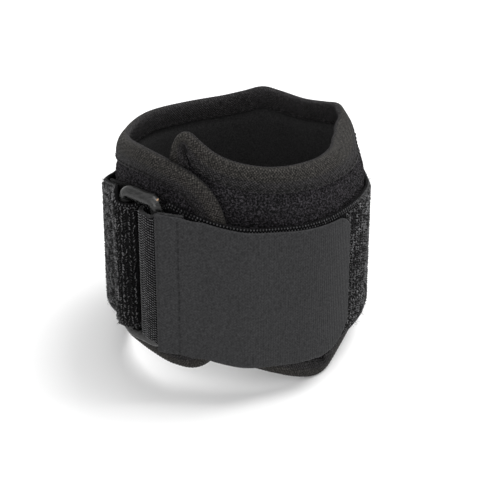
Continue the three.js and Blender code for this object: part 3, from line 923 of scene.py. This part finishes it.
def tabMaterial():
    # tight grey weave with faint chevrons
    surface = {"Roughness": 0.6, "Sheen Weight": 0.01, "Specular IOR Level": 0.12}
    material, nodes, links, shader = newMaterial("tab weave", surface)
    place, flat = nodes.new("ShaderNodeTexCoord"), addPattern(nodes)
    noise = addNode(nodes, "TexNoise", {"Scale": 1500, "Detail": 3})
    split = nodes.new("ShaderNodeSeparateXYZ")
    zigzag = addMath(nodes, "PINGPONG", 0.0016)
    rise = addMath(nodes, "ADD", 0)
    wave = addMath(nodes, "PINGPONG", 0.0005)
    chevron = addNode(nodes, "MapRange", {"From Max": 0.0005, "To Min": 0.82, "To Max": 1.14})
    ramp = addRamp(nodes, (0.3, (0.012, 0.012, 0.0127)), (0.72, (0.032, 0.032, 0.0335)))
    tint = addTint(nodes)
    bump = addNode(nodes, "Bump", {"Strength": 0.45, "Distance": 0.0002})
    joinNodes(links, [
        (place, "Object", noise, "Vector"), (flat, "UV", split, "Vector"),
        (split, "X", zigzag, 0), (zigzag, "Value", rise, 0), (split, "Y", rise, 1),
        (rise, "Value", wave, 0), (wave, "Value", chevron, "Value"), (noise, "Fac", ramp, "Fac"),
        (ramp, "Color", tint, "A"), (chevron, "Result", tint, "B"),
        (tint, "Result", shader, "Base Color"), (noise, "Fac", bump, "Height"),
        (bump, "Normal", shader, "Normal"),
    ])
    return material


tabPanel = finishPiece(makeTab(), "tab_fabric", tabMaterial())
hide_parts("hook_tab")


def makeTabStitches():
    places, axes = [], []
    half = band["width"] / 2
    for seam in tabLook["seams"]:
        for z in np.arange(-half + 1.6, half - 1, tabLook["stitch"]):
            at = np.array([seam, seam])
            low, high = tabPoint(at, np.array([z, z + 1]), tab["thickness"] / 2)
            run = unit(high - low)
            out = squareTo(run, np.append(planPoint(seam, 1.0), 0))
            places.append(low - out * tabLook["threadSink"])
            axes.append([run, np.cross(out, run), out])
    size = np.tile(tabLook["thread"], (len(places), 1))
    return scatter("tab_stitches", stitchShape(), np.array(places), np.array(axes), size)


finishPiece(makeTabStitches(), "tab_fabric", clothOf("tab thread"))
print("tab done")

# Ring: moulded bar bent into an upright rectangle

ringLook = {
    "sides": 20, "bendSteps": 8, "grey": 0.006, "rough": 0.16,
    "flash": (0.75, 0.42, 0.5), "flashAt": 50,
}


def makeRing():
    tall = loop["height"] + loop["wire"]
    halfWide, halfTall, corner = loop["spacing"] / 2, tall / 2, loop["corner"]
    bpy.ops.object.select_all(action="DESELECT")
    bpy.ops.mesh.primitive_circle_add(
        vertices=ringLook["sides"], radius=loop["wire"] / 2 * mm, fill_type="NOTHING",
        location=(halfWide * mm, 0, (corner - halfTall) * mm),
    )
    ring = bpy.context.object
    bpy.ops.object.transform_apply(location=True, rotation=True, scale=True)
    bpy.ops.object.mode_set(mode="EDIT")
    bpy.ops.mesh.select_all(action="SELECT")
    straight = [(0, 0, 2 * (halfTall - corner)), (-2 * (halfWide - corner), 0, 0)]
    straight += [tuple(-x for x in step) for step in straight]
    centres = [(1, 1), (-1, 1), (-1, -1), (1, -1)]
    for step, (x, z) in zip(straight, centres):
        bpy.ops.mesh.extrude_region_move(TRANSFORM_OT_translate={"value": tuple(v * mm for v in step)})
        bpy.ops.mesh.spin(
            steps=ringLook["bendSteps"], angle=math.pi / 2, axis=(0, 1, 0),
            center=(x * (halfWide - corner) * mm, 0, z * (halfTall - corner) * mm),
        )
    bpy.ops.mesh.select_all(action="SELECT")
    bpy.ops.mesh.remove_doubles(threshold=0.02 * mm)
    bpy.ops.mesh.normals_make_consistent(inside=False)
    bpy.ops.object.mode_set(mode="OBJECT")
    ring.name = "ring_bar"
    leanIn = math.atan(2 * band["flare"] / band["width"])
    ring.rotation_euler = (-leanIn, 0, math.radians(loop["angle"]))
    ring.location = ((ringMiddle + shift) * mm).tolist()
    bpy.ops.object.transform_apply(location=True, rotation=True, scale=True)
    bpy.ops.object.shade_smooth()
    return ring


def ringMaterial():
    # moulded plastic with faint flow marks along the bars in roughness and bump; the same streaks in
    # colour are painted highlights
    material, nodes, links, shader = newMaterial("ring plastic", {"Specular IOR Level": 0.45})
    grey, rough = ringLook["grey"], ringLook["rough"]
    place = nodes.new("ShaderNodeTexCoord")
    turn = (0, 0, math.radians(-loop["angle"]))
    drawn = addNode(nodes, "Mapping", {"Rotation": turn, "Scale": (0.1, 1, 1)})
    flowAndHighlightStreaks = addNode(nodes, "TexNoise", {"Scale": 1200, "Detail": 2})
    patchy = {"From Min": 0.35, "From Max": 0.65, "To Min": rough, "To Max": rough + 0.35}
    patchy = addNode(nodes, "MapRange", patchy)
    # painted highlight: the colour streaks along the bars stand for streaky reflections
    ramp = addRamp(nodes, (0.38, [grey * 0.3] * 3), (0.64, [grey * 2.6] * 3))
    bump = addNode(nodes, "Bump", {"Strength": 0.4, "Distance": 0.0003})
    joinNodes(links, [
        (place, "Object", drawn, "Vector"), (drawn, "Vector", flowAndHighlightStreaks, "Vector"),
        (flowAndHighlightStreaks, "Fac", patchy, "Value"), (flowAndHighlightStreaks, "Fac", ramp, "Fac"), (flowAndHighlightStreaks, "Fac", bump, "Height"),
        (patchy, "Result", shader, "Roughness"), (ramp, "Color", shader, "Base Color"),
        (bump, "Normal", shader, "Normal"),
    ])
    return material


ringBar = finishPiece(makeRing(), "ring_plastic", ringMaterial())
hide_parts("ring")


def makeFlash():
    # a nib of moulding flash left on the ring's upper right corner
    turn = math.radians(ringLook["flashAt"])
    reach = loop["corner"] + loop["wire"] / 2
    x = loop["spacing"] / 2 - loop["corner"] + reach * math.cos(turn)
    z = (loop["height"] + loop["wire"]) / 2 - loop["corner"] + reach * math.sin(turn)
    out = np.append(planPoint(loop["angle"], 1.0), 0)
    along = np.array([-out[1], out[0], 0])
    centre = ringMiddle + along * x + out * float(flareAt(z)) + np.array([0, 0, z])
    run = along * math.cos(turn) + np.array([0, 0, 1]) * math.sin(turn)
    axes = np.array([[run, np.cross(out, run), out]])
    return scatter("ring_flash", beadShape(), centre[None], axes, np.array([ringLook["flash"]]))


finishPiece(makeFlash(), "ring_plastic", clothOf("flash"))
print("ring done")

# Loose fibres along the strap's edges

fuzz = {"count": 700, "length": (0.3, 1.1), "thick": 0.06, "lastShare": 0.72}


def fibreShape():
    # a thin three-sided hair that bends over
    stations = [(0, 0, 1), (0.35, 0.12, 0.9), (0.7, 0.36, 0.75), (1, 0.7, 0.3)]
    verts, faces = [], []
    for x, y, size in stations:
        for turn in (0, 2 * math.pi / 3, 4 * math.pi / 3):
            thick = size * fuzz["thick"]
            verts.append((x, thick * math.cos(turn), y + thick * math.sin(turn)))
    for i in range(0, len(verts) - 3, 3):
        for k in range(3):
            a, b = i + k, i + (k + 1) % 3
            faces.append((a, b, b + 3, a + 3))
    return np.array(verts, float), faces


def makeFibres():
    start, stop = pathAt[outTurn] - 4, pathEnd * fuzz["lastShare"]
    count = fuzz["count"]
    at = dice.uniform(start, stop, count)
    side = np.where(dice.uniform(0, 1, count) < 0.5, 1, -1)
    z = side * (band["width"] / 2 - np.abs(dice.normal(0, 1.2, count)))
    place, along, up, normal = strapPoint(at, z, strapLook["baseTop"])
    run = normal + up * side[:, None] * dice.uniform(-0.2, 1.2, (count, 1))
    run = unit(run + along * dice.normal(0, 0.6, (count, 1)))
    across = unit(np.cross(run, along + 0.3 * up))
    axes = np.stack([run, across, np.cross(run, across)], 1)
    size = dice.uniform(*fuzz["length"], (count, 1)) * np.ones(3)
    return scatter("strap_fibres", fibreShape(), place, axes, size)


finishPiece(makeFibres(), "strap_pile", clothOf("pale fibre"))
print("fibres done")

# Camera, at the photograph's angle

view = {"distance": 340, "elevation": 30.3, "target": (0.8, 0, 35), "lens": 70.1}


def makeCamera():
    data = bpy.data.cameras.new("camera")
    camera = bpy.data.objects.new("camera", data)
    bpy.context.scene.collection.objects.link(camera)
    up = math.radians(view["elevation"])
    target = np.array(view["target"], float) + shift
    place = target + view["distance"] * np.array([0, -math.cos(up), math.sin(up)])
    camera.location = (place * mm).tolist()
    camera.rotation_euler = (math.pi / 2 - up, 0, 0)
    data.lens = view["lens"]
    data.sensor_width = 36
    data.clip_start, data.clip_end = 0.01, 20
    bpy.context.scene.camera = camera


makeCamera()

# Floor and light

studio = {"floor": 4, "white": 0.85, "aim": (0, 0, 0.04)}
lights = {
    "key": {"place": (0.35, 0.1, 0.75), "power": 5.5, "size": 0.5},
    "front": {"place": (-0.25, -0.8, 0.6), "power": 3.2, "size": 0.6},
}


def makeStudio():
    bpy.ops.object.select_all(action="DESELECT")
    bpy.ops.mesh.primitive_plane_add(size=studio["floor"], location=(0, 0, 0))
    floor = bpy.context.object
    floor.name = "floor"
    material, nodes, links, shader = newMaterial("floor white", {"Roughness": 0.9})
    noise = addNode(nodes, "TexNoise", {"Scale": 3})
    ramp = addRamp(nodes, (0, [0.9] * 3), (1, [0.93] * 3))
    joinNodes(links, [(noise, "Fac", ramp, "Fac"), (ramp, "Color", shader, "Base Color")])
    floor.data.materials.append(material)
    world = bpy.data.worlds.new("studio")
    bpy.context.scene.world = world
    world.use_nodes = True
    background = world.node_tree.nodes["Background"]
    background.inputs["Color"].default_value = (1, 1, 1, 1)
    background.inputs["Strength"].default_value = studio["white"]
    for name, light in lights.items():
        data = bpy.data.lights.new(name, "AREA")
        data.energy = light["power"]
        data.size = light["size"]
        lamp = bpy.data.objects.new(name, data)
        bpy.context.scene.collection.objects.link(lamp)
        lamp.location = light["place"]
        x, y, z = np.array(studio["aim"]) - np.array(light["place"])
        tilt = math.pi / 2 - math.atan2(-z, math.hypot(x, y))
        lamp.rotation_euler = (tilt, 0, math.atan2(y, x) - math.pi / 2)


makeStudio()
bpy.context.scene.view_settings.view_transform = "Standard"
print("studio done")
